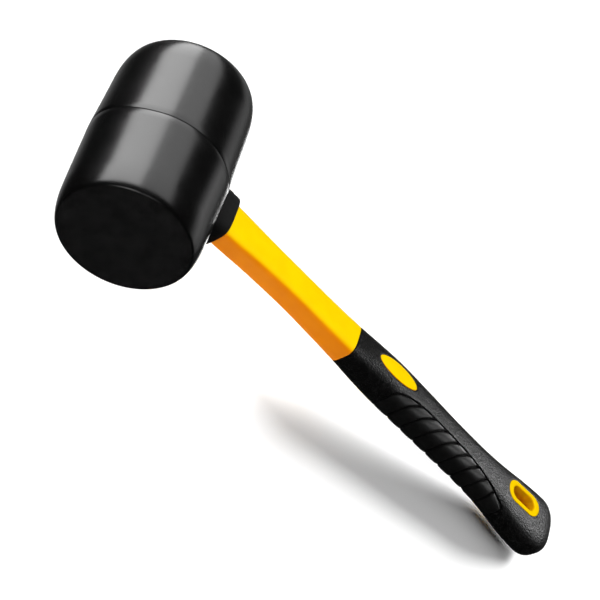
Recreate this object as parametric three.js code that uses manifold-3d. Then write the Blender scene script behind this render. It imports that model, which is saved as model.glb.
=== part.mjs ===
// Rubber mallet with a fibreglass-cored, plastic-jacketed handle and a soft grip.
//
// Every piece is drawn in the tool's own frame, in millimetres: the handle runs along +X from
// the middle of the head, the head's axis is Y, and the broad faces of the handle face +Z and -Z.
// At the end the whole tool is tilted about Y, so that it rests on its head and its butt, and is
// moved so that the origin is under the middle of its box, on the surface it lies on.

import * as THREE from "three";
import { mergeVertices } from "three/addons/utils/BufferGeometryUtils.js";
import Module from "manifold-3d";

const wasm = await Module();
wasm.setup();

// ---------------------------------------------------------------- driving dimensions

const GAP = 0.3;                    // left between pieces that touch

const HEAD_RADIUS = 35;             // round the parting line
const HEAD_LENGTH = 101.6;          // from face to face
const HEAD_BAND = 10;               // half the straight band on which the head rolls
const HEAD_END_RADIUS = 34;         // where the draft of each half ends
const CORNER_DEPTH = 14;            // easing of the barrel towards a striking edge, along the axis
const CORNER_WIDTH = 3;             // and along the radius
const FACE_CROWN = 0.6;             // how far the middle of a striking face stands proud
const FACE_FLAT_RADIUS = 14;        // flat disc in the middle of a striking face
const HEAD_SEGMENTS = 72;

const ROD_RADIUS = 4.6;
const ROD_BACK = 238;

const SLEEVE_FRONT = -22;           // where rod, sleeve and bond stop, inside the head
const BOND_THICKNESS = 1;
const COLLAR_FRONT = 17;
const COLLAR_RIM = 43.8;
const COLLAR_WALL = 2;
const COLLAR_BEVEL = 0.8;

const GRIP_FRONT = 133.8;           // where the grip's front edge meets the sleeve's shoulder
const GRIP_BACK = 293.5;
const BUTT_ROUNDING = 14;           // length of the rounded butt
const BUTT_SQUARENESS = 2.3;        // 2 would round it as an ellipse
const SLEEVE_BACK = 285.5;
const WALL_AT_FRONT = 1.6;          // grip wall under its front edge
const WALL_FULL = 3;                // grip wall from WALL_FULL_AT on
const WALL_FULL_AT = 158;

// Oval windows and slotted eyelet, in both broad faces.
const WINDOW = { x: 162.3, y: 1.8, halfLength: 13.4, halfWidth: 4.6 };
const EYELET = { x: 264.9, y: 0.8, length: 23.8, width: 12.6, holeLength: 16.4, holeWidth: 7.4 };

const PAD_DEPTH = 1.8;              // thickness of the finger pad
const PAD_FRONT = 164.5;            // front edge of the pad, on the side of the handle
const PAD_BORDER = -3.9;            // how near the pad comes to the middle of a broad face
const PAD_CORNER = { y: -10.6, reach: 3, endX: 190, endReach: 17 };  // from the edge to the border
const PAD_TAIL = { x: 254.2, y: -12.6, leave: 27, arrive: 21.2 };    // where the border runs out
const RIB_PITCH = 10;
const RIB_GROOVES = 8;
const GROOVE_WIDTH = 1.1;
const GROOVE_DEPTH = 1;
const GROOVE_TURN = -11;            // from here out to the side, a groove runs square
const GROOVE_BEND = 2.1;            // how gently it turns from there
const GROOVE_SWEEP = 8.5;           // how far back a groove has run where it meets the border

const AROUND = 32;                  // sides of a section of the handle
const STATION_STEP = 12;            // between the sections of a solid drawn along the handle
const OVERLAP = 2;                  // how far solids that are joined or cut reach into each other
const BEYOND = 30;                  // how far a cutting tool reaches, past any piece it cuts

// Sections of the handle's outside along X. Each is a superellipse: half its width along Y, half
// its thickness along Z, how square it is (2 is an ellipse), and where its middle lies along Y.
const HANDLE_SECTIONS = [
  { x: -40, halfWidth: 10.8, halfThickness: 7.1, squareness: 4, middle: 2.1 },
  { x: 45, halfWidth: 10.8, halfThickness: 7.1, squareness: 4, middle: 2.1 },
  { x: 70, halfWidth: 9.5, halfThickness: 7.2, squareness: 4, middle: 2.4 },
  { x: 95, halfWidth: 9, halfThickness: 7.3, squareness: 4, middle: 2.4 },
  { x: 115, halfWidth: 9.2, halfThickness: 7.6, squareness: 3.9, middle: 1.9 },
  { x: 135, halfWidth: 9.9, halfThickness: 8.4, squareness: 3.5, middle: 1.5 },
  { x: 150, halfWidth: 10.7, halfThickness: 10, squareness: 2.9, middle: 1.3 },
  { x: 163, halfWidth: 11, halfThickness: 10.8, squareness: 2.8, middle: 1.2 },
  { x: 185, halfWidth: 10.7, halfThickness: 10.7, squareness: 2.8, middle: 0.7 },
  { x: 210, halfWidth: 10.4, halfThickness: 10.2, squareness: 2.8, middle: 0.1 },
  { x: 233, halfWidth: 10.9, halfThickness: 9.7, squareness: 2.8, middle: -0.1 },
  { x: 250, halfWidth: 12.6, halfThickness: 9.6, squareness: 2.8, middle: -0.3 },
  { x: 265, halfWidth: 15.4, halfThickness: 9.8, squareness: 2.8, middle: -1 },
  { x: 277, halfWidth: 16.5, halfThickness: 9.9, squareness: 2.9, middle: -1.2 },
  { x: 294, halfWidth: 17, halfThickness: 9.8, squareness: 2.9, middle: -1.2 },
];

// ---------------------------------------------------------------- materials

const RUBBER = { color: 0x1b1b1c, roughness: 0.42, metalness: 0 };
const COLLAR_PLASTIC = { color: 0x0d0d0d, roughness: 0.6, metalness: 0 };
const YELLOW_PLASTIC = { color: 0xffe000, roughness: 0.38, metalness: 0 };
const GRIP_RUBBER = { color: 0x141414, roughness: 0.7, metalness: 0 };
const PAD_RUBBER = { color: 0x0f0f10, roughness: 0.55, metalness: 0 };
const FIBREGLASS = { color: 0xd8cfa8, roughness: 0.5, metalness: 0 };
const EPOXY = { color: 0x8a7442, roughness: 0.3, metalness: 0 };

// ---------------------------------------------------------------- solids

function toSolid(geometry) {
  const bare = geometry.clone();
  bare.deleteAttribute("normal");
  bare.deleteAttribute("uv");
  const merged = mergeVertices(bare, 1e-4);
  return new wasm.Manifold(new wasm.Mesh({
    numProp: 3,
    vertProperties: new Float32Array(merged.attributes.position.array),
    triVerts: new Uint32Array(merged.index.array),
  }));
}

function toGeometry(solid) {
  const mesh = solid.getMesh();
  const geometry = new THREE.BufferGeometry();
  geometry.setAttribute("position", new THREE.BufferAttribute(mesh.vertProperties, 3));
  geometry.setIndex(new THREE.BufferAttribute(mesh.triVerts, 1));
  geometry.computeVertexNormals();
  return geometry;
}

// One of the handle's section values at x, on a smooth curve through the stations.
function sectionValue(key, x) {
  const last = HANDLE_SECTIONS.length - 1;
  let i = 0;
  while (i < last - 1 && HANDLE_SECTIONS[i + 1].x < x) {
    i += 1;
  }
  const slope = (k) => {
    const before = HANDLE_SECTIONS[Math.max(k - 1, 0)];
    const after = HANDLE_SECTIONS[Math.min(k + 1, last)];
    return (after[key] - before[key]) / (after.x - before.x);
  };
  const a = HANDLE_SECTIONS[i];
  const b = HANDLE_SECTIONS[i + 1];
  const span = b.x - a.x;
  const t = THREE.MathUtils.clamp((x - a.x) / span, 0, 1);
  const rise = t * t * (3 - 2 * t);
  const leave = t * (1 - t) * (1 - t) * span * slope(i);
  const arrive = t * t * (t - 1) * span * slope(i + 1);
  return a[key] + (b[key] - a[key]) * rise + leave + arrive;
}

// The handle's section at x, drawn in by inset all round.
function handleSection(x, inset = 0) {
  return {
    x,
    halfWidth: sectionValue("halfWidth", x) - inset,
    halfThickness: sectionValue("halfThickness", x) - inset,
    squareness: sectionValue("squareness", x),
    middle: sectionValue("middle", x),
  };
}

// The section of the neck, which runs unchanged through the head, grown by grow all round.
function neckSection(x, grow) {
  const neck = HANDLE_SECTIONS[0];
  return { ...neck, x, halfWidth: neck.halfWidth + grow, halfThickness: neck.halfThickness + grow };
}

// A closed solid through a list of sections along X.
function loft(sections) {
  const positions = [];
  for (const s of sections) {
    for (let k = 0; k < AROUND; k += 1) {
      const angle = (2 * Math.PI * (k + 0.5)) / AROUND;
      const c = Math.cos(angle);
      const d = Math.sin(angle);
      const y = Math.sign(c) * Math.abs(c) ** (2 / s.squareness);
      const z = Math.sign(d) * Math.abs(d) ** (2 / s.squareness);
      positions.push(s.x, s.middle + s.halfWidth * y, s.halfThickness * z);
    }
  }
  const first = sections[0];
  const end = sections[sections.length - 1];
  positions.push(first.x, first.middle, 0, end.x, end.middle, 0);
  const firstCentre = sections.length * AROUND;
  const endRing = (sections.length - 1) * AROUND;
  const triangles = [];
  for (let k = 0; k < AROUND; k += 1) {
    const next = (k + 1) % AROUND;
    for (let ring = 0; ring < endRing; ring += AROUND) {
      const a = ring + k;
      const b = ring + next;
      triangles.push(a, b, a + AROUND, b, b + AROUND, a + AROUND);
    }
    triangles.push(firstCentre, next, k);
    triangles.push(firstCentre + 1, endRing + k, endRing + next);
  }
  const geometry = new THREE.BufferGeometry();
  geometry.setAttribute("position", new THREE.Float32BufferAttribute(positions, 3));
  geometry.setIndex(triangles);
  return toSolid(geometry);
}

function neckBar(from, to, grow) {
  return loft([neckSection(from, grow), neckSection(to, grow)]);
}

function roundBar(from, to, radius) {
  const geometry = new THREE.CylinderGeometry(radius, radius, to - from, AROUND);
  geometry.rotateZ(Math.PI / 2);
  geometry.translate((from + to) / 2, 0, 0);
  return toSolid(geometry);
}

// A prism of an XY outline, running through the handle along Z.
function prismThrough(shape, curveSegments = 8) {
  const geometry = new THREE.ExtrudeGeometry(shape, {
    depth: 2 * BEYOND,
    bevelEnabled: false,
    curveSegments,
  });
  geometry.translate(0, 0, -BEYOND);
  return toSolid(geometry);
}

function spaced(from, to, step) {
  const count = Math.max(1, Math.round((to - from) / step));
  return Array.from({ length: count + 1 }, (_, i) => from + ((to - from) * i) / count);
}

// ---------------------------------------------------------------- handle shapes

// How much the rounded butt draws a section in at x, as a share of its size.
function buttShare(x, back) {
  const into = Math.max(0, (x - (back - BUTT_ROUNDING)) / BUTT_ROUNDING);
  return (1 - into ** BUTT_SQUARENESS) ** (1 / BUTT_SQUARENESS);
}

// The grip's outside, drawn in by a wall that may change along X.
function gripBody(front, back, inset) {
  const straight = spaced(front, back - BUTT_ROUNDING, STATION_STEP);
  const rounded = [0.4, 0.7, 0.87, 0.96, 0.995].map((share) => back - BUTT_ROUNDING * (1 - share));
  return loft([...straight, ...rounded].map((x) => {
    const section = handleSection(x, inset(x));
    const share = buttShare(x, back);
    return { ...section, halfWidth: section.halfWidth * share, halfThickness: section.halfThickness * share };
  }));
}

function gripWall(x) {
  return WALL_AT_FRONT + (WALL_FULL - WALL_AT_FRONT) * THREE.MathUtils.smoothstep(x, GRIP_FRONT, WALL_FULL_AT);
}

function windowShape(grow) {
  const shape = new THREE.Shape();
  shape.absellipse(WINDOW.x, WINDOW.y, WINDOW.halfLength + grow, WINDOW.halfWidth + grow, 0, 2 * Math.PI);
  return shape;
}

// A slot with round ends, centred on the hanging hole.
function slotShape(length, width) {
  const r = width / 2;
  const reach = length / 2 - r;
  const shape = new THREE.Shape();
  shape.absarc(EYELET.x + reach, EYELET.y, r, -Math.PI / 2, Math.PI / 2);
  shape.absarc(EYELET.x - reach, EYELET.y, r, Math.PI / 2, 1.5 * Math.PI);
  return shape;
}

// Outline of the finger pad seen along Z: it wraps round the -Y side of the handle, so only the
// border that crosses the broad faces is shaped, and the rest runs well outside the handle.
function padShape(grow) {
  const border = PAD_BORDER + grow;
  const front = PAD_FRONT - grow;
  const { y: cornerY, reach, endX, endReach } = PAD_CORNER;
  const tailX = PAD_TAIL.x + grow;
  const tailY = PAD_TAIL.y + grow;
  const shape = new THREE.Shape();
  shape.moveTo(front, -BEYOND);
  shape.lineTo(front, cornerY);
  shape.bezierCurveTo(front, cornerY + reach, endX - endReach, border, endX, border);
  shape.bezierCurveTo(endX + PAD_TAIL.leave, border, tailX - PAD_TAIL.arrive, border, tailX, tailY);
  shape.lineTo(tailX + OVERLAP, -BEYOND);
  return shape;
}

// One groove across the pad: square across the side, then swept back over the broad faces.
function grooveShape(index) {
  const x = PAD_FRONT + RIB_PITCH * index;
  const half = GROOVE_WIDTH / 2;
  const bend = GROOVE_TURN + GROOVE_BEND;
  const shape = new THREE.Shape();
  shape.moveTo(x - half, -BEYOND);
  shape.lineTo(x - half, GROOVE_TURN);
  shape.quadraticCurveTo(x - half, bend, x + GROOVE_SWEEP - half, PAD_BORDER);
  shape.lineTo(x + 2 * GROOVE_SWEEP, 0);
  shape.lineTo(x + GROOVE_SWEEP + half, PAD_BORDER);
  shape.quadraticCurveTo(x + half, bend, x + half, GROOVE_TURN);
  shape.lineTo(x + half, -BEYOND);
  return shape;
}

// ---------------------------------------------------------------- the pieces

// Solid rubber barrel with a blind eye, wider at the mouth where the collar sits.
function makeHead() {
  const halfLength = HEAD_LENGTH / 2;
  const edgeRadius = HEAD_END_RADIUS - CORNER_WIDTH;
  const cornerStart = halfLength - FACE_CROWN - CORNER_DEPTH;
  const half = new THREE.Path();
  half.moveTo(0, halfLength);
  half.lineTo(FACE_FLAT_RADIUS, halfLength);
  half.lineTo(edgeRadius, halfLength - FACE_CROWN);
  half.absellipse(edgeRadius, cornerStart, CORNER_WIDTH, CORNER_DEPTH, Math.PI / 2, 0, true);
  half.lineTo(HEAD_RADIUS, HEAD_BAND);
  const upper = half.getPoints(3);
  const lower = upper.map((p) => new THREE.Vector2(p.x, -p.y)).reverse();
  const profile = [...upper, ...lower].reverse();
  const barrel = toSolid(new THREE.LatheGeometry(profile, HEAD_SEGMENTS));
  const eye = neckBar(SLEEVE_FRONT - GAP, BEYOND + HEAD_RADIUS, GAP + BOND_THICKNESS + GAP);
  const mouth = neckBar(COLLAR_FRONT - GAP, BEYOND + HEAD_RADIUS, GAP + COLLAR_WALL + GAP);
  return barrel.subtract(eye).subtract(mouth);
}

function makeRod() {
  return roundBar(SLEEVE_FRONT, ROD_BACK, ROD_RADIUS);
}

// Tube of hardened adhesive between the sleeve and the wall of the eye.
function makeEyeBond() {
  const back = COLLAR_FRONT - GAP;
  const outside = neckBar(SLEEVE_FRONT, back, GAP + BOND_THICKNESS);
  return outside.subtract(neckBar(SLEEVE_FRONT - BEYOND, back + BEYOND, GAP));
}

// Collar pressed into the mouth of the eye, round the neck of the handle.
function makeCollar() {
  const grow = GAP + COLLAR_WALL;
  const outside = loft([
    neckSection(COLLAR_FRONT, grow),
    neckSection(COLLAR_RIM - COLLAR_BEVEL, grow),
    neckSection(COLLAR_RIM, grow - COLLAR_BEVEL),
  ]);
  return outside.subtract(neckBar(COLLAR_FRONT - BEYOND, COLLAR_RIM + BEYOND, GAP));
}

// Yellow jacket moulded round the rod. It shows between the collar and the grip, in the oval
// windows and round the hanging hole, and runs inside the grip in between.
function makeSleeve() {
  const under = (x) => gripWall(x) + GAP;
  const stations = [SLEEVE_FRONT, ...spaced(HANDLE_SECTIONS[1].x, GRIP_FRONT, STATION_STEP)];
  const bare = loft(stations.map((x) => handleSection(x)));
  const covered = gripBody(GRIP_FRONT - OVERLAP, SLEEVE_BACK, under);
  const surface = gripBody(GRIP_FRONT - OVERLAP, GRIP_BACK, () => 0);
  const windows = prismThrough(windowShape(0)).intersect(surface);
  const eyelet = prismThrough(slotShape(EYELET.length, EYELET.width)).intersect(surface);
  const slot = prismThrough(slotShape(EYELET.holeLength, EYELET.holeWidth));
  const bore = roundBar(SLEEVE_FRONT - BEYOND, ROD_BACK + GAP, ROD_RADIUS + GAP);
  return bare.add(covered).add(windows).add(eyelet).subtract(slot).subtract(bore);
}

// Soft grip moulded over the back of the sleeve, with windows, an eyelet hole and a pad recess.
function makeGrip() {
  const outside = gripBody(GRIP_FRONT + GAP, GRIP_BACK, () => 0);
  const inside = gripBody(GRIP_FRONT - OVERLAP, SLEEVE_BACK + GAP, gripWall);
  const windows = prismThrough(windowShape(GAP));
  const eyelet = prismThrough(slotShape(EYELET.length + 2 * GAP, EYELET.width + 2 * GAP));
  const underPad = gripBody(GRIP_FRONT - OVERLAP, GRIP_BACK, () => PAD_DEPTH + GAP);
  const recess = prismThrough(padShape(GAP)).subtract(underPad);
  return outside.subtract(inside).subtract(windows).subtract(eyelet).subtract(recess);
}

// Ribbed pad under the fingers, wrapped round the -Y side of the grip.
function makePad() {
  const surface = gripBody(GRIP_FRONT, GRIP_BACK, () => 0);
  const back = gripBody(GRIP_FRONT - OVERLAP, GRIP_BACK, () => PAD_DEPTH);
  const grooveFloor = gripBody(GRIP_FRONT - OVERLAP, GRIP_BACK, () => GROOVE_DEPTH);
  let pad = prismThrough(padShape(0)).intersect(surface).subtract(back);
  for (let i = 1; i <= RIB_GROOVES; i += 1) {
    pad = pad.subtract(prismThrough(grooveShape(i), 4).subtract(grooveFloor));
  }
  return pad;
}

// ---------------------------------------------------------------- assembly

function addPiece(group, name, solid, finish) {
  const mesh = new THREE.Mesh(toGeometry(solid), new THREE.MeshStandardMaterial(finish));
  mesh.name = name;
  group.add(mesh);
}

// The tilt about Y at which the butt comes down to the plane that the head rests on.
function restingTilt(geometry) {
  const points = geometry.attributes.position;
  const lowest = (tilt) => {
    let low = Infinity;
    for (let i = 0; i < points.count; i += 1) {
      low = Math.min(low, points.getZ(i) * Math.cos(tilt) - points.getX(i) * Math.sin(tilt));
    }
    return low;
  };
  let level = 0;
  let steep = 0.3;
  while (steep - level > 1e-7) {
    const middle = (level + steep) / 2;
    if (lowest(middle) > -HEAD_RADIUS) {
      level = middle;
    } else {
      steep = middle;
    }
  }
  return level;
}

const tool = new THREE.Group();
addPiece(tool, "rubber_head", makeHead(), RUBBER);
addPiece(tool, "neck_collar", makeCollar(), COLLAR_PLASTIC);
addPiece(tool, "handle_sleeve", makeSleeve(), YELLOW_PLASTIC);
addPiece(tool, "core_rod", makeRod(), FIBREGLASS);
addPiece(tool, "eye_bond", makeEyeBond(), EPOXY);
addPiece(tool, "grip_shell", makeGrip(), GRIP_RUBBER);
addPiece(tool, "finger_pad", makePad(), PAD_RUBBER);

tool.rotation.y = restingTilt(tool.getObjectByName("grip_shell").geometry);
tool.updateMatrixWorld(true);
const box = new THREE.Box3().setFromObject(tool, true);
tool.position.set(-(box.min.x + box.max.x) / 2, -(box.min.y + box.max.y) / 2, -box.min.z);

const mallet = new THREE.Group();
mallet.add(tool);

export default mallet;
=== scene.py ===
"""Looks of the rubber mallet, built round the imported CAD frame.

Every moulded piece is drawn again at a fine resolution, in the tool's own frame: the handle runs
along +X from the middle of the head, the head's axis is Y, and the broad faces of the handle face
+Z and -Z. Lengths of the tool are in millimetres, and become metres when a mesh is made. The
frame's own pieces say where the tool lies. Camera and lights are placed in metres.
"""

import math

import bpy
import numpy as np
from mathutils import Matrix, Vector


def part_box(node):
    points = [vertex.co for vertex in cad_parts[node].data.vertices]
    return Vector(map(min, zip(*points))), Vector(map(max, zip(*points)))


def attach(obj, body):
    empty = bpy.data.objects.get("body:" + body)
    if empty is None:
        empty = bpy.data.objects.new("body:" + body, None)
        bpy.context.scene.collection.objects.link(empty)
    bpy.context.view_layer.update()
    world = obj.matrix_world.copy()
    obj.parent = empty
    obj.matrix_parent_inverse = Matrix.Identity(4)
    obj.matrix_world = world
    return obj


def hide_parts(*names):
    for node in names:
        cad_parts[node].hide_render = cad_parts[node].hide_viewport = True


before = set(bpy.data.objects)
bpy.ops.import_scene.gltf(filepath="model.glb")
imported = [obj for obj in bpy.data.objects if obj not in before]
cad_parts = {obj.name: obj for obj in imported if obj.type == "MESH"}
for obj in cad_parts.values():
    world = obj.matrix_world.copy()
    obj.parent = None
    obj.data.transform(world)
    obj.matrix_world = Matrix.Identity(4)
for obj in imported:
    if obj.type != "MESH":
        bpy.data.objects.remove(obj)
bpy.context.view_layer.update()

MM = 0.001
GAP = 0.3  # between pieces that touch

# ---------------------------------------------------------------- dimensions, as in the CAD model

HEAD_RADIUS = 35.0
HEAD_LENGTH = 101.6
CORNER_DEPTH = 14.0  # easing of the barrel towards a striking edge, along its axis
CORNER_WIDTH = 3.0  # and along its radius
FACE_CROWN = 0.6

SLEEVE_FRONT = -22.0  # where rod, sleeve and bond stop, inside the head
COLLAR_FRONT = 17.0
COLLAR_RIM = 43.8
COLLAR_WALL = 2.0
COLLAR_BEVEL = 0.8
BOND_THICKNESS = 1.0
ROD_RADIUS = 4.6
ROD_BACK = 238.0

GRIP_FRONT = 133.8
GRIP_BACK = 293.5
BUTT_ROUNDING = 14.0
BUTT_SQUARENESS = 2.3  # 2 would round it as an ellipse
SLEEVE_BACK = 285.5
WALL_AT_FRONT = 1.6
WALL_FULL = 3.0
WALL_FULL_AT = 158.0

WINDOW_X = 162.3
WINDOW_Y = 1.8
WINDOW_HALF_LENGTH = 13.4
WINDOW_HALF_WIDTH = 4.6
EYELET_X = 264.9
EYELET_Y = 0.8
EYELET_LENGTH = 23.8
EYELET_WIDTH = 12.6
HOLE_LENGTH = 16.4
HOLE_WIDTH = 7.4

PAD_DEPTH = 1.8
PAD_FRONT = 164.5
PAD_BORDER = -3.9
PAD_CORNER = -10.6  # from here out to the side, the pad's front edge runs square
PAD_TAIL = (254.2, -12.6)
RIB_PITCH = 10.0
RIB_GROOVES = 8
GROOVE_TURN = -11.0  # from here out to the side, a groove runs square
GROOVE_SWEEP = 8.5  # how far back a groove has run where it meets the border

# Sections of the handle's outside: x, half width, half thickness, squareness, middle in Y.
HANDLE_SECTIONS = np.array([
    (-40, 10.8, 7.1, 4, 2.1),
    (45, 10.8, 7.1, 4, 2.1),
    (70, 9.5, 7.2, 4, 2.4),
    (95, 9, 7.3, 4, 2.4),
    (115, 9.2, 7.6, 3.9, 1.9),
    (135, 9.9, 8.4, 3.5, 1.5),
    (150, 10.7, 10, 2.9, 1.3),
    (163, 11, 10.8, 2.8, 1.2),
    (185, 10.7, 10.7, 2.8, 0.7),
    (210, 10.4, 10.2, 2.8, 0.1),
    (233, 10.9, 9.7, 2.8, -0.1),
    (250, 12.6, 9.6, 2.8, -0.3),
    (265, 15.4, 9.8, 2.8, -1),
    (277, 16.5, 9.9, 2.9, -1.2),
    (294, 17, 9.8, 2.9, -1.2),
])

# Fine shapes that only the visible surface has.

HEAD_DRAFT = 0.028  # how fast the barrel narrows on both sides of the parting line
PARTING_Y = -3.9  # the two halves of the mould don't meet quite in the middle
PARTING_HALF_WIDTH = 0.35
PARTING_DEPTH = 0.25
PARTING_LEAN = 6.0  # how far the line strays towards +Y on the side away from the handle
PARTING_REACH = 25.0  # along the axis, how far the barrel's rings follow the line where it strays
GRIP_LIP = 0.5  # rounding of the grip's front edge
SEAM_DEPTH = 0.9  # groove between the pad and the grip
SEAM_HALF_WIDTH = 0.5
GROOVE_DEPTH = 1.1
GROOVE_HALF_WIDTH = 0.62
GROOVE_BEND = 1.5  # how gently a groove turns back on its way to the border
RIB_CROWN = 0.45  # how much lower a rib is beside a groove than along its middle
LIP_DEPTH = 0.3  # rounding of the grip round the windows and the eyelet
LIP_WIDTH = 0.45

# Resolution, and how far solids that are joined or cut reach into or past each other.

HEAD_SEGMENTS = 288
AROUND = 216  # points of a ring round the handle
FINE_STEP = 0.45  # between the rings of the ribbed stretch
GRIP_STEP = 0.9  # between those in front of it
BUTT_STEP = 0.8  # and behind it
COARSE_STEP = 2.0
OVERLAP = 2.0
BEYOND = 30.0


# ---------------------------------------------------------------- the tool's place in the frame

head_low, head_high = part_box("rubber_head")
rod_low, rod_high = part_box("core_rod")
head_middle = (head_low + head_high) / 2
head_middle.x = head_low.x + HEAD_RADIUS * MM  # the mouth of the eye cuts the other side short
along = ((rod_low + rod_high) / 2 - head_middle).normalized()
across = Vector((0, 1, 0))
turned = Matrix((along, across, along.cross(across))).transposed().to_4x4()
TOOL = Matrix.Translation(head_middle) @ turned


# ---------------------------------------------------------------- camera

CAMERA_AZIMUTH = math.radians(-29.5)
CAMERA_ELEVATION = math.radians(40.3)
CAMERA_ROLL = math.radians(60.1)
CAMERA_DISTANCE = 0.86
CAMERA_TARGET = Vector((-0.0626, -0.0581, 0.0833))
LENS = 120


def make_camera():
    back = Vector((
        math.sin(CAMERA_AZIMUTH) * math.cos(CAMERA_ELEVATION),
        -math.cos(CAMERA_AZIMUTH) * math.cos(CAMERA_ELEVATION),
        math.sin(CAMERA_ELEVATION),
    ))
    turn = back.to_track_quat("Z", "Y") @ Matrix.Rotation(CAMERA_ROLL, 3, "Z").to_quaternion()
    camera = bpy.data.objects.new("camera", bpy.data.cameras.new("camera"))
    camera.data.lens = LENS
    camera.rotation_euler = turn.to_euler()
    camera.location = CAMERA_TARGET + back * CAMERA_DISTANCE
    bpy.context.scene.collection.objects.link(camera)
    bpy.context.scene.camera = camera


make_camera()


# ---------------------------------------------------------------- sections of the handle

def section_values(x):
    """Half width, half thickness, squareness and middle of the handle at x, on smooth curves."""
    stations = HANDLE_SECTIONS[:, 0]
    values = HANDLE_SECTIONS[:, 1:]
    x = np.atleast_1d(np.asarray(x, float))
    slopes = np.empty_like(values)
    slopes[1:-1] = (values[2:] - values[:-2]) / (stations[2:] - stations[:-2])[:, None]
    slopes[0] = (values[1] - values[0]) / (stations[1] - stations[0])
    slopes[-1] = (values[-1] - values[-2]) / (stations[-1] - stations[-2])
    i = np.clip(np.searchsorted(stations, x, side="left") - 1, 0, len(stations) - 2)
    span = (stations[i + 1] - stations[i])[:, None]
    t = np.clip((x - stations[i])[:, None] / span, 0, 1)
    rise = t * t * (3 - 2 * t)
    leave = t * (1 - t) ** 2 * span * slopes[i]
    arrive = t * t * (t - 1) * span * slopes[i + 1]
    return values[i] + (values[i + 1] - values[i]) * rise + leave + arrive


def butt_share(x, back):
    """How much the rounded butt draws a section in at x, as a share of its size."""
    into = np.clip((x - (back - BUTT_ROUNDING)) / BUTT_ROUNDING, 0, 1)
    return (1 - into ** BUTT_SQUARENESS) ** (1 / BUTT_SQUARENESS)


def section_points(x, inset=0.0, share=1.0, around=AROUND, grow_neck=None):
    """Rings of points round the handle, one ring for each x: an array of rings, points, XYZ.

    With grow_neck, every ring has the section of the neck, that much larger on each side.
    """
    x = np.atleast_1d(np.asarray(x, float))
    values = section_values(x if grow_neck is None else np.full_like(x, SLEEVE_FRONT))
    grow = -np.asarray(inset, float) if grow_neck is None else np.asarray(grow_neck, float)
    half_width = (values[:, 0] + grow) * share
    half_thickness = (values[:, 1] + grow) * share
    angle = 2 * np.pi * (np.arange(around) + 0.5) / around
    c, s = np.cos(angle), np.sin(angle)
    power = 2 / values[:, 2][:, None]
    y = values[:, 3][:, None] + half_width[:, None] * np.sign(c) * np.abs(c) ** power
    z = half_thickness[:, None] * np.sign(s) * np.abs(s) ** power
    return np.stack([np.broadcast_to(x[:, None], y.shape), y, z], axis=2)


def broad_face_height(x, y):
    """Height of the handle's +Z face over the point x, y."""
    values = section_values(np.ravel(x))
    aside = np.abs((np.ravel(y) - values[:, 3]) / values[:, 0])
    height = values[:, 1] * (1 - np.clip(aside, 0, 1) ** values[:, 2]) ** (1 / values[:, 2])
    return height.reshape(np.shape(x))


def grip_wall(x):
    t = np.clip((np.asarray(x, float) - GRIP_FRONT) / (WALL_FULL_AT - GRIP_FRONT), 0, 1)
    return WALL_AT_FRONT + (WALL_FULL - WALL_AT_FRONT) * t * t * (3 - 2 * t)


# ---------------------------------------------------------------- meshes

def mesh_object(name, points, faces):
    mesh = bpy.data.meshes.new(name)
    mesh.from_pydata((np.asarray(points, float) * MM).tolist(), [], faces)
    mesh.validate()
    piece = bpy.data.objects.new(name, mesh)
    bpy.context.scene.collection.objects.link(piece)
    return piece


def ring_faces(rings, around, closed=False):
    """Quads between neighbouring rings. A closed list of rings joins its last ring to its first."""
    faces = []
    for ring in range(rings if closed else rings - 1):
        a = ring * around
        b = (ring + 1) % rings * around
        for k in range(around):
            n = (k + 1) % around
            faces.append((a + k, a + n, b + n, b + k))
    return faces


def solid_of_rings(name, rings):
    """A closed solid through rings of points, with a fan over each end."""
    count, around = rings.shape[:2]
    first = count * around
    last_ring = (count - 1) * around
    points = np.vstack([rings.reshape(-1, 3), rings[0].mean(axis=0), rings[-1].mean(axis=0)])
    faces = ring_faces(count, around)
    for k in range(around):
        n = (k + 1) % around
        faces.append((first, n, k))
        faces.append((first + 1, last_ring + k, last_ring + n))
    return mesh_object(name, points, faces)


def tube_of_rings(name, rings):
    """A closed tube, whose last ring joins its first."""
    return mesh_object(name, rings.reshape(-1, 3), ring_faces(rings.shape[0], rings.shape[1], True))


def prism_through(name, outline):
    """A prism of an XY outline, running right through the handle along Z."""
    outline = np.asarray(outline, float)
    low = np.column_stack([outline, np.full(len(outline), -BEYOND)])
    high = np.column_stack([outline, np.full(len(outline), BEYOND)])
    count = len(outline)
    faces = [tuple(range(count))[::-1], tuple(range(count, 2 * count))]
    for k in range(count):
        n = (k + 1) % count
        faces.append((k, n, count + n, count + k))
    return mesh_object(name, np.vstack([low, high]), faces)


def combine(piece, operation, *others):
    """Joins others to the piece, cuts them from it or keeps what they share, then drops them."""
    for other in others:
        step = piece.modifiers.new(operation, "BOOLEAN")
        step.operation = operation
        step.solver = "MANIFOLD"
        step.object = other
        depsgraph = bpy.context.evaluated_depsgraph_get()
        result = bpy.data.meshes.new_from_object(piece.evaluated_get(depsgraph))
        piece.modifiers.clear()
        piece.data = result
        bpy.data.objects.remove(other)
    return piece


def finish_piece(piece, node, material, sharp=40):
    """Puts a finished moulding in place of its CAD node."""
    piece.data.name = piece.name
    piece.data.materials.clear()
    piece.data.materials.append(material)
    piece.data.polygons.foreach_set("use_smooth", [True] * len(piece.data.polygons))
    piece.data.set_sharp_from_angle(angle=math.radians(sharp))
    piece.data.transform(TOOL)
    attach(piece, "root")
    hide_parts(node)


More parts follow.
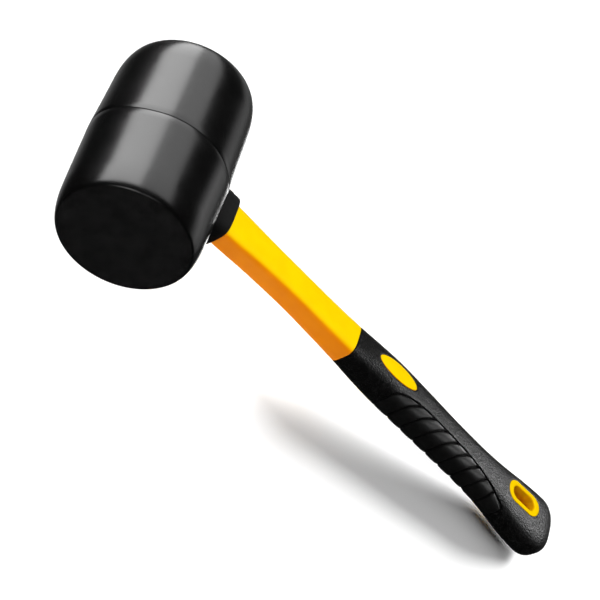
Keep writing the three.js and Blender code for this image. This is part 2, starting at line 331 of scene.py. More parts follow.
def round_rings(x, middle_y, radius, around):
    """Circles of points round the handle's axis, each with its own X and radius."""
    x = np.asarray(x, float)
    angle = 2 * np.pi * np.arange(around) / around
    y = np.reshape(middle_y, (-1, 1)) + radius[:, None] * np.cos(angle)
    z = radius[:, None] * np.sin(angle)
    return np.stack([np.broadcast_to(x[:, None], z.shape), np.broadcast_to(y, z.shape), z], axis=2)


def neck_solid(name, from_x, to_x, grow):
    return solid_of_rings(name, section_points([from_x, to_x], grow_neck=grow))


def spaced(from_x, to_x, step):
    return np.linspace(from_x, to_x, max(2, int(round((to_x - from_x) / step)) + 1))


def under_surface(name, depth, back, step=3):
    """A plain solid under the grip's outside, at a depth that is a function of X."""
    into_butt = np.array([0.4, 0.7, 0.87, 0.96, 0.995])
    x = np.concatenate([
        spaced(GRIP_FRONT - OVERLAP, back - BUTT_ROUNDING, step),
        back - BUTT_ROUNDING * (1 - into_butt),
    ])
    return solid_of_rings(name, section_points(x, depth(x), butt_share(x, back)))


# ---------------------------------------------------------------- outlines seen along Z

def ellipse_outline(grow=0.0, count=128):
    t = 2 * np.pi * np.arange(count) / count
    x = WINDOW_X + (WINDOW_HALF_LENGTH + grow) * np.cos(t)
    y = WINDOW_Y + (WINDOW_HALF_WIDTH + grow) * np.sin(t)
    return np.column_stack([x, y])


def slot_outline(length, width, arc=33):
    """A slot with round ends, centred on the hanging hole."""
    radius = width / 2
    reach = length / 2 - radius
    t = np.linspace(-np.pi / 2, np.pi / 2, arc)
    back = np.column_stack([reach + radius * np.cos(t), radius * np.sin(t)])
    front = -back
    sides = np.linspace(0, 1, 12)[1:-1, None]
    upper = back[-1] + (front[0] - back[-1]) * sides
    lower = front[-1] + (back[0] - front[-1]) * sides
    return np.vstack([back, upper, front, lower]) + (EYELET_X, EYELET_Y)


def bezier(a, b, c, d, count=24):
    t = np.linspace(0, 1, count)[:, None]
    a, b, c, d = (np.array(p, float) for p in (a, b, c, d))
    return a * (1 - t) ** 3 + 3 * b * t * (1 - t) ** 2 + 3 * c * t * t * (1 - t) + d * t ** 3


def pad_outline(grow=0.0):
    """The pad wraps round the -Y side, so only its border on the broad faces is shaped."""
    front = PAD_FRONT - grow
    border = PAD_BORDER + grow
    tail = (PAD_TAIL[0] + grow, PAD_TAIL[1] + grow)
    corner = bezier((front, PAD_CORNER), (front, PAD_CORNER + 3), (173, border), (190, border))
    side = bezier((190, border), (217, border), (233, border), tail)
    outline = [[(front, -BEYOND)], corner, side[1:], [(tail[0] + 3, -BEYOND)]]
    return np.vstack(outline)[::-1]


def distance_to_outline(x, y, outline):
    """Signed distance from points to a closed outline, negative inside it."""
    nearest = np.full(x.shape, np.inf)
    inside = np.zeros(x.shape, bool)
    for (ax, ay), (bx, by) in zip(outline, np.roll(outline, -1, axis=0)):
        dx, dy = bx - ax, by - ay
        t = np.clip(((x - ax) * dx + (y - ay) * dy) / (dx * dx + dy * dy), 0, 1)
        nearest = np.minimum(nearest, np.hypot(x - ax - t * dx, y - ay - t * dy))
        if ay != by:
            crosses = (ay > y) != (by > y)
            inside ^= crosses & (x < ax + (y - ay) / (by - ay) * dx)
    return np.where(inside, -nearest, nearest)


def smooth(low, high, value):
    t = np.clip((value - low) / (high - low), 0, 1)
    return t * t * (3 - 2 * t)


# ---------------------------------------------------------------- head

def head_profile():
    """The head's outline, as radius and Y, from the middle of the upper face to the lower one's."""
    half = HEAD_LENGTH / 2
    corner_y = half - FACE_CROWN - CORNER_DEPTH
    turns = np.radians(np.linspace(90, 0, 33))
    corner_up = corner_y + CORNER_DEPTH * np.sin(turns)
    line = PARTING_Y + PARTING_HALF_WIDTH * np.linspace(1, -1, 9)
    y = np.concatenate([
        corner_up,
        np.linspace(corner_y, line[0], 12)[1:-1],
        line,
        np.linspace(line[-1], -corner_y, 10)[1:-1],
        -corner_up[::-1],
    ])
    into = np.clip((np.abs(y) - corner_y) / CORNER_DEPTH, 0, 1)
    off_line = np.abs(y - PARTING_Y)
    radius = HEAD_RADIUS - HEAD_DRAFT * off_line - CORNER_WIDTH * (1 - np.sqrt(1 - into ** 2))
    radius -= PARTING_DEPTH * (1 - smooth(0, PARTING_HALF_WIDTH, off_line))
    inward = np.linspace(0.97, 0.06, 16)
    upper_face = [(radius[0] * t, half - FACE_CROWN * t ** 2.5) for t in inward[::-1]]
    lower_face = [(radius[-1] * t, FACE_CROWN * t ** 2.5 - half) for t in inward]
    return np.vstack([upper_face, np.column_stack([radius, y]), lower_face])


def make_head(material):
    """The barrel is turned about Y, with the parting line pressed into it, and has a blind eye."""
    profile = head_profile()
    angle = 2 * np.pi * np.arange(HEAD_SEGMENTS) / HEAD_SEGMENTS
    radius = profile[:, 0][:, None]
    y = np.broadcast_to(profile[:, 1][:, None], (len(profile), HEAD_SEGMENTS))
    turn = (90 - np.degrees(angle)) % 360  # from +X towards +Z
    strays = smooth(130, 205, turn) * (1 - smooth(215, 290, turn))
    follows = np.clip(1 - np.abs(profile[:, 1] - PARTING_Y) / PARTING_REACH, 0, 1)
    y = y + PARTING_LEAN * follows[:, None] * strays
    rings = np.stack([radius * np.sin(angle), y, radius * np.cos(angle)], axis=2)
    head = solid_of_rings("rubber_barrel", rings[::-1])
    eye = neck_solid("eye", SLEEVE_FRONT - GAP, BEYOND + HEAD_RADIUS, GAP + BOND_THICKNESS + GAP)
    mouth = neck_solid("mouth", COLLAR_FRONT - GAP, BEYOND + HEAD_RADIUS, GAP + COLLAR_WALL + GAP)
    combine(head, "DIFFERENCE", eye, mouth)
    finish_piece(head, "rubber_head", material)


# ---------------------------------------------------------------- collar

def make_collar(material):
    """A ring round the neck: straight outside, a rounded rim, and straight down the inside."""
    outer = GAP + COLLAR_WALL
    turns = np.radians(np.linspace(0, 90, 7))
    rim = [(COLLAR_RIM - COLLAR_BEVEL + COLLAR_BEVEL * math.sin(t),
            outer - COLLAR_BEVEL + COLLAR_BEVEL * math.cos(t)) for t in turns]
    walk = [(x, outer) for x in spaced(COLLAR_FRONT, COLLAR_RIM - COLLAR_BEVEL - 0.6, 3)]
    inner_edge = 0.25
    walk += rim + [(COLLAR_RIM, GAP + inner_edge), (COLLAR_RIM - inner_edge, GAP), (COLLAR_FRONT, GAP)]
    x, grow = np.array(walk).T
    finish_piece(
        tube_of_rings("neck_collar_ring", section_points(x, grow_neck=grow)),
        "neck_collar", material)


# ---------------------------------------------------------------- yellow jacket

def window_plug(name, side):
    """One oval boss of the jacket. Its top lies flush in the grip, and its rim is rolled over."""
    rim = 0.35
    rings = []
    for share in (1, 1, 0.995, 0.98, 0.955, 0.93, 0.8, 0.6, 0.4, 0.2, 0.05):
        outline = (ellipse_outline() - (WINDOW_X, WINDOW_Y)) * share + (WINDOW_X, WINDOW_Y)
        drop = rim * max(0, (share - 0.93) / 0.07) ** 2.5
        height = broad_face_height(outline[:, 0], outline[:, 1]) - drop
        rings.append(np.column_stack([outline, height]))
    rings[0][:, 2] = WALL_FULL
    rings = np.array(rings)
    if side < 0:
        rings = rings[:, ::-1] * (1, 1, -1)
    return solid_of_rings(name, rings)


def make_eyelet():
    """The rim of the hanging hole, a slotted tube that runs through both broad faces."""
    hole = slot_outline(HOLE_LENGTH, HOLE_WIDTH)
    outside = slot_outline(EYELET_LENGTH, EYELET_WIDTH)
    inner_round = 0.36  # how far the rounding reaches, as a share of the rim's width
    outer_round = 0.12
    inner_drop = 1.0
    outer_drop = 0.3
    flat = 0.6
    walk = []
    for t in np.radians(np.linspace(0, 90, 8)):
        walk.append((inner_round * (1 - math.cos(t)), inner_drop * (1 - math.sin(t))))
    walk.append((flat, 0))
    for t in np.radians(np.linspace(90, 0, 5)):
        walk.append((1 - outer_round * (1 - math.cos(t)), outer_drop * (1 - math.sin(t))))
    upper = []
    lower = []
    for share, drop in walk:
        outline = hole + (outside - hole) * share
        height = broad_face_height(outline[:, 0], outline[:, 1]) - drop
        upper.append(np.column_stack([outline, height]))
        lower.append(np.column_stack([outline, -height]))
    levels = np.linspace(-1, 1, 9)[1:-1]
    inner_wall = [np.column_stack([hole, upper[0][:, 2] * level]) for level in levels]
    rings = np.array(upper + lower[::-1] + inner_wall)
    return tube_of_rings("eyelet", rings[::-1])


def make_jacket(material):
    x = np.concatenate([[SLEEVE_FRONT], spaced(30, GRIP_FRONT, COARSE_STEP)])
    jacket = solid_of_rings("handle_jacket", section_points(x))
    covered = under_surface("covered", lambda at: grip_wall(at) + GAP, SLEEVE_BACK, 4)
    eyelet_hole = prism_through("hole", slot_outline(HOLE_LENGTH + 2, HOLE_WIDTH + 2))
    combine(covered, "DIFFERENCE", eyelet_hole)
    window_up = window_plug("window_up", 1)
    window_down = window_plug("window_down", -1)
    combine(covered, "UNION", make_eyelet(), window_up, window_down)
    combine(jacket, "UNION", covered)
    bore_x = [SLEEVE_FRONT - BEYOND, ROD_BACK + GAP]
    bore = round_rings(bore_x, 0, np.full(2, ROD_RADIUS + GAP), 64)
    combine(jacket, "DIFFERENCE", solid_of_rings("bore", bore))
    jacket.visible_glossy = False  # keeps its colour out of the gloss of the black rubber
    finish_piece(jacket, "handle_sleeve", material)


# ---------------------------------------------------------------- grip and finger pad

def groove_sweep(y):
    """How far back a rib groove has run at y: none down the side, then more up to the border."""
    across_face = np.clip((y - GROOVE_TURN) / (PAD_BORDER - GROOVE_TURN), 0, 1)
    return GROOVE_SWEEP * across_face ** GROOVE_BEND


def surface_slope(field, points):
    """How fast a field changes along the surface, so that lines drawn by it keep their width."""
    along_u = np.gradient(points, axis=0)
    along_v = (np.roll(points, -1, axis=1) - np.roll(points, 1, axis=1)) / 2
    field_u = np.gradient(field, axis=0)
    field_v = (np.roll(field, -1, axis=1) - np.roll(field, 1, axis=1)) / 2
    uu = (along_u ** 2).sum(axis=2)
    vv = (along_v ** 2).sum(axis=2)
    uv = (along_u * along_v).sum(axis=2)
    area = np.maximum(uu * vv - uv * uv, 1e-12)
    slope = (vv * field_u ** 2 - 2 * uv * field_u * field_v + uu * field_v ** 2) / area
    return np.sqrt(np.clip(slope, 0.25, 9))


def grip_relief(points):
    """How deep the visible surface of the grip and pad lies under the handle's plain outside."""
    x, y = points[:, :, 0], points[:, :, 1]
    border = distance_to_outline(x, y, pad_outline())
    inside = smooth(0.1, -0.6, border)
    tail = 1 - smooth(PAD_TAIL[0] - 6, PAD_TAIL[0] + 3, x)
    seam = SEAM_DEPTH * (0.25 + 0.75 * tail) * (1 - smooth(0.05, SEAM_HALF_WIDTH, np.abs(border)))
    back = x - groove_sweep(y) - PAD_FRONT
    nearest = np.clip(np.round(back / RIB_PITCH), 1, RIB_GROOVES)
    off_groove = (back - nearest * RIB_PITCH) / surface_slope(back, points)
    groove = GROOVE_DEPTH * (1 - smooth(0.08, GROOVE_HALF_WIDTH, np.abs(off_groove)))
    phase = np.abs(back / RIB_PITCH - np.round(back / RIB_PITCH)) * 2
    ribs_begin = smooth(0.3, 1, back / RIB_PITCH)
    ribs_end = smooth(RIB_GROOVES, RIB_GROOVES + 0.7, back / RIB_PITCH)
    crown = RIB_CROWN * ribs_begin * (1 - ribs_end) * (1 - phase) ** 2.5
    window = distance_to_outline(x, y, ellipse_outline())
    eyelet = distance_to_outline(x, y, slot_outline(EYELET_LENGTH, EYELET_WIDTH))
    lips = LIP_DEPTH * (1 - smooth(0, LIP_WIDTH, np.minimum(window, eyelet)))
    return np.maximum(seam, inside * (groove + crown)) + lips


def grip_surface(name):
    """The outside of grip and pad in one closed solid, with all its relief."""
    turns = np.radians(np.linspace(0, 90, 6))[:-1]
    front_x = GRIP_FRONT + GAP + GRIP_LIP * (1 - np.cos(turns))
    front_inset = GRIP_LIP * (1 - np.sin(turns))
    fine_from = PAD_FRONT - 3
    fine_to = PAD_TAIL[0] + 6
    straight = np.concatenate([
        spaced(GRIP_FRONT + GAP + GRIP_LIP, fine_from, GRIP_STEP)[:-1],
        spaced(fine_from, fine_to, FINE_STEP)[:-1],
        spaced(fine_to, GRIP_BACK - BUTT_ROUNDING, BUTT_STEP),
    ])
    butt = GRIP_BACK - BUTT_ROUNDING + BUTT_ROUNDING * np.sin(np.radians(np.linspace(0, 89, 34)))[1:]
    x = np.concatenate([front_x, straight, butt])
    inset = np.concatenate([front_inset, np.zeros(len(straight) + len(butt))])
    share = butt_share(x, GRIP_BACK)
    plain = section_points(x, inset, share)
    relief = grip_relief(plain)[:, :, None]
    along_u = np.gradient(plain, axis=0)
    along_v = np.roll(plain, -1, axis=1) - np.roll(plain, 1, axis=1)
    outward = np.cross(along_v, along_u)
    outward /= np.maximum(np.linalg.norm(outward, axis=2, keepdims=True), 1e-9)
    return solid_of_rings(name, plain - outward * relief)


def make_grip_and_pad(grip_material, pad_material):
    seam_gap = 0.06  # on each side of the pad's outline, between pad and grip
    grip = grip_surface("grip_moulding")
    pad = grip.copy()
    pad.data = grip.data.copy()
    pad.name = "finger_pad_moulding"
    bpy.context.scene.collection.objects.link(pad)
    combine(pad, "INTERSECT", prism_through("pad_edge", pad_outline(-seam_gap)))
    pad_back = under_surface("pad_back", lambda x: np.full_like(x, PAD_DEPTH), GRIP_BACK)
    combine(pad, "DIFFERENCE", pad_back)

    recess = prism_through("recess", pad_outline(seam_gap))
    floor = under_surface("recess_floor", lambda x: np.full_like(x, PAD_DEPTH + GAP), GRIP_BACK)
    combine(recess, "DIFFERENCE", floor)
    windows = prism_through("windows", ellipse_outline(0.1))
    eyelet = prism_through("eyelet_opening", slot_outline(EYELET_LENGTH + 0.2, EYELET_WIDTH + 0.2))
    inside = under_surface("inside", grip_wall, SLEEVE_BACK + GAP)
    combine(grip, "DIFFERENCE", recess, inside, windows, eyelet)
    finish_piece(grip, "grip_shell", grip_material)
    finish_piece(pad, "finger_pad", pad_material)


# ---------------------------------------------------------------- materials

class Nodes:
    """A material under construction."""

    def __init__(self, name, **constants):
        self.material = bpy.data.materials.new(name)
        self.material.use_nodes = True
        self.tree = self.material.node_tree
        self.shader = self.tree.nodes["Principled BSDF"]
        for socket, value in constants.items():
            self.shader.inputs[socket.replace("_", " ")].default_value = value
        coordinates = self.add("ShaderNodeTexCoord")
        self.place = coordinates.outputs["Object"]
        self.normal = coordinates.outputs["Normal"]

    def add(self, kind, **settings):
        node = self.tree.nodes.new(kind)
        for key, value in settings.items():
            setattr(node, key, value)
        return node

    def link(self, source, target):
        self.tree.links.new(source, target)

    def part(self, vector, axis):
        node = self.add("ShaderNodeSeparateXYZ")
        self.link(vector, node.inputs["Vector"])
        return node.outputs[axis]

    def stretched(self, scale):
        node = self.add("ShaderNodeMapping")
        node.inputs["Scale"].default_value = scale
        self.link(self.place, node.inputs["Vector"])
        return node.outputs["Vector"]

    def noise(self, scale, detail=4.0, roughness=0.5, vector=None):
        node = self.add("ShaderNodeTexNoise")
        node.inputs["Scale"].default_value = scale
        node.inputs["Detail"].default_value = detail
        node.inputs["Roughness"].default_value = roughness
        self.link(vector or self.place, node.inputs["Vector"])
        return node.outputs["Fac"]

    def cells(self, scale):
        node = self.add("ShaderNodeTexVoronoi")
        node.inputs["Scale"].default_value = scale
        self.link(self.place, node.inputs["Vector"])
        return node.outputs["Distance"]

    def fit(self, value, from_low, from_high, to_low, to_high):
        node = self.add("ShaderNodeMapRange", interpolation_type="SMOOTHSTEP")
        self.link(value, node.inputs["Value"])
        for socket, number in (
            ("From Min", from_low), ("From Max", from_high), ("To Min", to_low), ("To Max", to_high)):
            node.inputs[socket].default_value = number
        return node.outputs["Result"]

    def math(self, operation, a, b):
        node = self.add("ShaderNodeMath", operation=operation)
        for socket, value in zip(node.inputs, (a, b)):
            if isinstance(value, (int, float)):
                socket.default_value = value
            else:
                self.link(value, socket)
        return node.outputs["Value"]

    def mix(self, factor, low, high):
        node = self.add("ShaderNodeMix", data_type="RGBA")
        self.link(factor, node.inputs["Factor"])
        for socket, value in (("A", low), ("B", high)):
            target = [s for s in node.inputs if s.name == socket and s.type == "RGBA"][0]
            if isinstance(value, tuple):
                target.default_value = (*value, 1)
            else:
                self.link(value, target)
        return [s for s in node.outputs if s.type == "RGBA"][0]

    def colour(self, value):
        self.link(value, self.shader.inputs["Base Color"])

    def roughness(self, value):
        self.link(value, self.shader.inputs["Roughness"])

    def bump(self, height, distance, strength=1.0):
        node = self.add("ShaderNodeBump")
        node.inputs["Distance"].default_value = distance
        node.inputs["Strength"].default_value = strength
        if self.shader.inputs["Normal"].is_linked:
            before = self.shader.inputs["Normal"].links[0].from_socket
            self.link(before, node.inputs["Normal"])
        self.link(height, node.inputs["Height"])
        self.link(node.outputs["Normal"], self.shader.inputs["Normal"])


def head_rubber():
    """Satin black rubber with a faint cloudy bloom. The striking faces are lighter than the barrel:
    partly scuff wear, partly painted light that lifts their tone.
    """
    m = Nodes("head_rubber", IOR=1.5)
    bloom = m.fit(m.noise(22, 5, 0.6), 0.35, 0.7, 0, 1)
    barrel = m.mix(bloom, (0.0012, 0.0012, 0.00125), (0.002, 0.002, 0.0021))
    scuffs = m.fit(m.noise(140, 6, 0.7), 0.35, 0.7, 0, 1)
    # The striking faces get a lighter colour with scuff marks: the marks are wear, the lift over the
    # barrel is painted light.
    face = m.mix(scuffs, (0.004, 0.004, 0.004), (0.009, 0.009, 0.009))
    facing_out = m.math("ABSOLUTE", m.part(m.normal, "Y"), 0)
    m.colour(m.mix(m.fit(facing_out, 0.85, 0.99, 0, 1), barrel, face))
    m.roughness(m.fit(m.noise(60, 6, 0.65), 0.3, 0.7, 0.22, 0.27))
    m.bump(m.noise(2600, 3), 0.00002, 0.5)
    return m.material


def collar_rubber():
    """Dull black rubber, duller than the head."""
    m = Nodes("collar_rubber", IOR=1.45, Specular_IOR_Level=0.25)
    m.colour(m.mix(m.noise(150, 4), (0.002, 0.002, 0.002), (0.005, 0.005, 0.005)))
    m.roughness(m.fit(m.noise(400, 3), 0.3, 0.7, 0.5, 0.65))
    m.bump(m.noise(1500, 3), 0.00005, 0.5)
    return m.material


def yellow_jacket():
    """Satin moulded plastic. Its colour has painted light and shade in it: a lit yellow on the broad
    faces, a painted shaded orange on the narrow sides, and a lighter painted tone inside the hole.
    """
    m = Nodes("yellow_jacket", IOR=1.46, Specular_IOR_Level=0.1)
    mottle = m.fit(m.noise(90, 4), 0.3, 0.7, 0, 1)
    # Lit and shaded copies of one yellow: broad is the lit tone, side is painted shade.
    broad = m.mix(mottle, (0.93, 0.59, 0.0), (0.96, 0.63, 0.0))
    side = m.mix(mottle, (0.85, 0.23, 0.0), (0.88, 0.25, 0.0))
    # Inside the hanging hole a lighter painted orange takes the place of the side's painted shade.
    hole_painted_tone_mask = m.fit(m.part(m.place, "X"), 0.1, 0.11, 0, 1)  # in metres of the frame
    narrow = m.mix(hole_painted_tone_mask, side, (0.93, 0.5, 0.0))
    upright = m.math("ABSOLUTE", m.part(m.normal, "Z"), 0)
    # By how far the surface faces along Z, the broad faces take the lit yellow and the sides take the
    # painted shade.
    m.colour(m.mix(m.fit(upright, 0.5, 0.97, 1, 0), broad, narrow))
    m.roughness(m.fit(m.noise(200, 5), 0.3, 0.7, 0.3, 0.42))
    m.bump(m.noise(1300, 3), 0.00003, 0.4)
    return m.material


def grip_rubber():
    """Soft black rubber with a fine pebbled grain in its bumps, and lighter specks painted into its
    colour along the grain: painted glints of light.
    """
    m = Nodes("grip_rubber", IOR=1.5)
    grain = m.noise(1400, 3, 0.6)
    # Painted glints: the grain's high spots get a lighter colour, standing in for light caught in
    # specks. The same grain also drives the real bump below.
    m.colour(m.mix(m.fit(grain, 0.5, 0.72, 0, 1), (0.001, 0.001, 0.001), (0.022, 0.022, 0.022)))
    m.roughness(m.fit(m.noise(900, 4), 0.3, 0.7, 0.36, 0.52))
    m.bump(m.cells(1300), 0.0003, 0.7)
    m.bump(grain, 0.0002, 0.7)
    return m.material


def pad_rubber():
    """The pad is smoother and darker than the grip, with only a faint grain."""
    m = Nodes("pad_rubber", IOR=1.5)
    m.colour(m.mix(m.noise(800, 4), (0.0015, 0.0015, 0.0015), (0.006, 0.006, 0.006)))
    m.roughness(m.fit(m.noise(500, 4), 0.3, 0.7, 0.38, 0.5))
    m.bump(m.noise(1500, 3), 0.0001, 0.6)
    return m.material


def fibreglass():
    """Pale resin with long glass fibres along the rod."""
    m = Nodes("fibreglass", IOR=1.5)
    fibres = m.noise(1, 6, 0.7, m.stretched((25, 1500, 1500)))
    m.colour(m.mix(fibres, (0.52, 0.42, 0.22), (0.78, 0.72, 0.5)))
    m.roughness(m.fit(fibres, 0.3, 0.7, 0.35, 0.6))
    m.bump(fibres, 0.00005, 0.5)
    return m.material


def epoxy():
    """Amber adhesive, a little cloudy."""
    m = Nodes("epoxy", IOR=1.52)
    cloud = m.noise(180, 5, 0.6)
    m.colour(m.mix(cloud, (0.22, 0.12, 0.03), (0.36, 0.23, 0.08)))
    m.roughness(m.fit(cloud, 0.3, 0.7, 0.15, 0.35))
    m.bump(m.noise(300, 3), 0.0001, 0.4)
    return m.material


def clad_inner_node(node, material):
    """Gives a hidden CAD piece, which is kept as it is, its material."""
    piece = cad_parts[node]
    piece.data.materials.clear()
    piece.data.materials.append(material)


# ---------------------------------------------------------------- stage and light

STAGE_REACH = 12.0
ROOM_LIGHT = 0.015

# The flag, a bar that shades the paper, from end to end along the handle.

FLAG_FRONT = 118.0
FLAG_BACK = 288.0
FLAG_FRONT_RADIUS = 5.5
FLAG_BACK_RADIUS = 9.2


def make_floor():
    """White paper, which gloss doesn't see."""
    mesh = bpy.data.meshes.new("floor")
    corners = [(STAGE_REACH * x, STAGE_REACH * y, 0) for x, y in ((-1, -1), (1, -1), (1, 1), (-1, 1))]
    mesh.from_pydata(corners, [], [(0, 1, 2, 3)])
    floor = bpy.data.objects.new("floor", mesh)
    bpy.context.scene.collection.objects.link(floor)
    paper = bpy.data.materials.new("paper")
    paper.use_nodes = True
    shader = paper.node_tree.nodes["Principled BSDF"]
    shader.inputs["Base Color"].default_value = (0.9, 0.9, 0.9, 1)
    shader.inputs["Roughness"].default_value = 0.9
    shader.inputs["Specular IOR Level"].default_value = 0.1
    mesh.materials.append(paper)
    floor.visible_glossy = False


def make_backdrop():
    """A white wall round the end of the paper, which is only there to be looked at."""
    count = 64
    angle = 2 * np.pi * np.arange(count) / count
    radius = 0.98 * STAGE_REACH
    ring = np.column_stack([radius * np.cos(angle), radius * np.sin(angle)])
    points = [(x, y, z) for z in (-0.1, STAGE_REACH) for x, y in ring]
    mesh = bpy.data.meshes.new("backdrop")
    mesh.from_pydata(points, [], ring_faces(2, count))
    wall = bpy.data.objects.new("backdrop", mesh)
    bpy.context.scene.collection.objects.link(wall)
    white = bpy.data.materials.new("white_wall")
    white.use_nodes = True
    shader = white.node_tree.nodes["Principled BSDF"]
    shader.inputs["Base Color"].default_value = (0, 0, 0, 1)
    shader.inputs["Emission Color"].default_value = (1, 1, 1, 1)
    shader.inputs["Emission Strength"].default_value = 1.0
    mesh.materials.append(white)
    wall.visible_diffuse = False
    wall.visible_glossy = False
    wall.visible_shadow = False


def make_world():
    """A dark room. The floor hides its lower half from all but gloss, which sees a glow there.

    The glow lies behind the tool and under its horizon, and is weaker towards either end of X.
    """
    world = bpy.data.worlds.new("studio")
    bpy.context.scene.world = world
    world.use_nodes = True
    tree = world.node_tree
    background = tree.nodes["Background"]
    background.inputs["Color"].default_value = (1, 1, 1, 1)
    place = tree.nodes.new("ShaderNodeTexCoord")
    parts = tree.nodes.new("ShaderNodeSeparateXYZ")
    tree.links.new(place.outputs["Generated"], parts.inputs["Vector"])

    def rise(axis, low, high, at_low=0.0, at_high=1.0):
        node = tree.nodes.new("ShaderNodeMapRange")
        node.interpolation_type = "SMOOTHSTEP"
        tree.links.new(parts.outputs[axis], node.inputs["Value"])
        node.inputs["From Min"].default_value = low
        node.inputs["From Max"].default_value = high
        node.inputs["To Min"].default_value = at_low
        node.inputs["To Max"].default_value = at_high
        return node.outputs["Result"]

    def combined(operation, a, b):
        node = tree.nodes.new("ShaderNodeMath")
        node.operation = operation
        for socket, value in zip(node.inputs, (a, b)):
            if isinstance(value, float):
                socket.default_value = value
            else:
                tree.links.new(value, socket)
        return node.outputs["Value"]

    behind = combined("MULTIPLY", rise("Y", 0.1, 0.6), rise("Z", 0.06, -0.12))
    across_room = combined("MULTIPLY", rise("X", -0.42, 0.1), rise("X", 0.58, 0.4, 0.06, 0.42))
    glow = combined("MULTIPLY", behind, across_room)
    tree.links.new(combined("ADD", glow, ROOM_LIGHT), background.inputs["Strength"])


def softbox(name, towards, distance, size, radiance, target=head_middle, diffuse=True, glossy=True):
    """A flat light that shines at the target from a direction, as bright as radiance from anywhere."""
    light = bpy.data.lights.new(name, "AREA")
    light.shape = "RECTANGLE"
    light.size, light.size_y = size
    light.energy = radiance * math.pi * size[0] * size[1]
    box = bpy.data.objects.new(name, light)
    away = Vector(towards).normalized()
    box.location = target + away * distance
    box.rotation_euler = away.to_track_quat("Z", "Y").to_euler()
    box.visible_diffuse = diffuse
    box.visible_glossy = glossy
    box.visible_camera = False
    bpy.context.scene.collection.objects.link(box)
    return box


def far_light(name, towards, spread, strength):
    """A light so far off that it's even over all the paper, seen as a disc of spread degrees."""
    light = bpy.data.lights.new(name, "SUN")
    light.angle = math.radians(spread)
    light.energy = strength
    lamp = bpy.data.objects.new(name, light)
    lamp.rotation_euler = Vector(towards).to_track_quat("Z", "Y").to_euler()
    lamp.visible_glossy = False
    bpy.context.scene.collection.objects.link(lamp)
    return lamp


def strip(name, turn, width, radiance, distance=0.8, length=4.0, offset=2.05):
    """A light parallel to the head's axis, that draws one band on the barrel.

    It stands turn degrees round the axis from +X towards +Z, is width degrees wide as the axis
    sees it, and its middle is offset along Y.
    """
    middle = math.radians(turn)
    facing = Vector((math.cos(middle), 0, math.sin(middle)))
    size = (2 * distance * math.tan(math.radians(width) / 2), length)
    box = softbox(name, facing, distance, size, radiance, diffuse=False)
    sideways = Vector((0, 1, 0)).cross(facing)
    box.rotation_euler = Matrix((sideways, (0, 1, 0), facing)).transposed().to_euler()
    box.location.y += offset
    return box


def share_light(light, lights_up=None, shadows_from=None):
    """Limits a light to some objects, and lets only some objects cast a shadow in it."""
    for use, names in (("receiver_collection", lights_up), ("blocker_collection", shadows_from)):
        if names:
            members = bpy.data.collections.new(f"{light.name}_{use}")
            for name in names:
                members.objects.link(bpy.data.objects[name])
            setattr(light.light_linking, use, members)


def make_flag():
    """A studio flag: a bar inside the handle that only the paper's key light meets.

    The shadow it throws is narrower and softer than the whole grip's.
    """
    end = [0.3, 0.6, 0.85]
    share = np.array(end + [1] * 12 + end[::-1])
    x = np.linspace(FLAG_FRONT, FLAG_BACK, len(share))
    radius = np.linspace(FLAG_FRONT_RADIUS, FLAG_BACK_RADIUS, len(share)) * share
    flag = solid_of_rings("flag", round_rings(x, section_values(x)[:, 3], radius, 24))
    flag.data.transform(TOOL)
    flag.visible_camera = False
    flag.visible_diffuse = False
    flag.visible_glossy = False


def light_paper():
    """A low key for the paper alone, shaded by the flag, and a fill, shaded by the grip."""
    key = far_light("paper_key", towards=(0.7, 2.15, 1), spread=18, strength=8.6)
    share_light(key, ["floor"], ["flag"])
    fill = far_light("paper_fill", towards=(0, 0.2, 1), spread=80, strength=1.45)
    share_light(fill, ["floor"], ["grip_moulding", "finger_pad_moulding"])


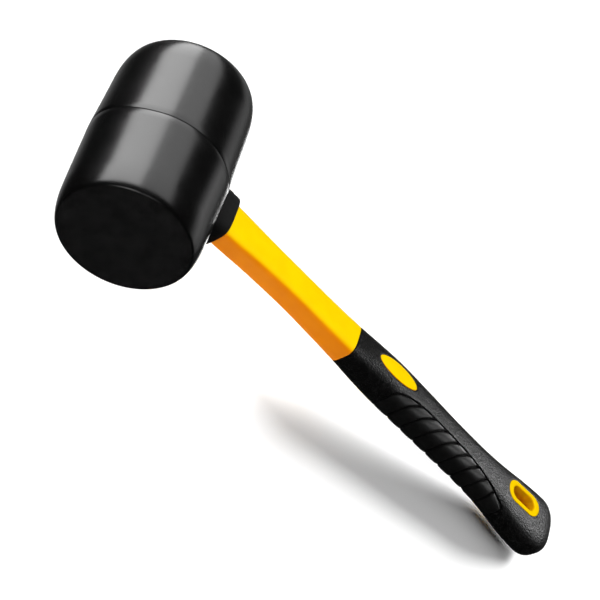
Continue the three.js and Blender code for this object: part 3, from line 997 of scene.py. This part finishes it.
def light_tool():
    """Diffuse light for the tool alone, from above and from the front."""
    on_stage = ("floor", "backdrop", "flag")
    meshes = [piece.name for piece in bpy.data.objects if piece.type == "MESH"]
    pieces = [name for name in meshes if name not in on_stage]
    top = softbox(
        "top", towards=(-0.1, 0.2, 1), distance=1.6, size=(1.8, 1.8), radiance=4.0, glossy=False)
    front = softbox(
        "front", towards=(0.1, -1, 0.5), distance=1.6, size=(1.6, 1.0), radiance=1.2, glossy=False)
    share_light(top, pieces)
    share_light(front, pieces)


def light_gloss():
    """Lights that only gloss sees: bands along the barrel, its rim, and a sheen on the grip.

    The far strips carry the bands on over the barrel when it is looked at from behind.
    """
    bands = [
        strip("main_band", turn=148, width=56, radiance=6.2),
        strip("second_band", turn=96, width=42, radiance=2.0),
        strip("right_zone", turn=2, width=26, radiance=0.38),
        strip("right_zone_near", turn=15, width=20, radiance=0.6, length=0.8, offset=0.36),
        strip("far_main_band", turn=140, width=34, radiance=2.4, offset=-2.6),
        strip("far_second_band", turn=100, width=20, radiance=0.9, offset=-2.6),
    ]
    for band in bands:
        share_light(band, ["rubber_barrel", "neck_collar_ring"])
    sheen = softbox(
        "grip_sheen", towards=(0.57, 0.3, 0.74), distance=0.2, size=(0.09, 0.08), radiance=17,
        target=TOOL @ Vector((0.25, 0, 0)), diffuse=False)
    share_light(sheen, ["grip_moulding", "finger_pad_moulding"])
    rib_sheen = softbox(
        "rib_sheen", towards=(0.57, -0.6, 0.58), distance=0.2, size=(0.1, 0.06), radiance=5,
        target=TOOL @ Vector((0.215, 0, 0)), diffuse=False)
    share_light(rib_sheen, ["finger_pad_moulding"])
    rim = softbox(
        "rim", towards=(0.4, 0.68, -0.6), distance=0.6, size=(0.2, 0.2), radiance=3.4,
        target=TOOL @ Vector((0.028, -0.02, 0.02)), diffuse=False)
    share_light(rim, ["rubber_barrel"], ["rubber_barrel"])


# ---------------------------------------------------------------- all together

make_head(head_rubber())
make_collar(collar_rubber())
make_jacket(yellow_jacket())
make_grip_and_pad(grip_rubber(), pad_rubber())
clad_inner_node("core_rod", fibreglass())
clad_inner_node("eye_bond", epoxy())
make_floor()
make_backdrop()
make_flag()
make_world()
light_paper()
light_tool()
light_gloss()
bpy.context.scene.view_settings.view_transform = "Standard"
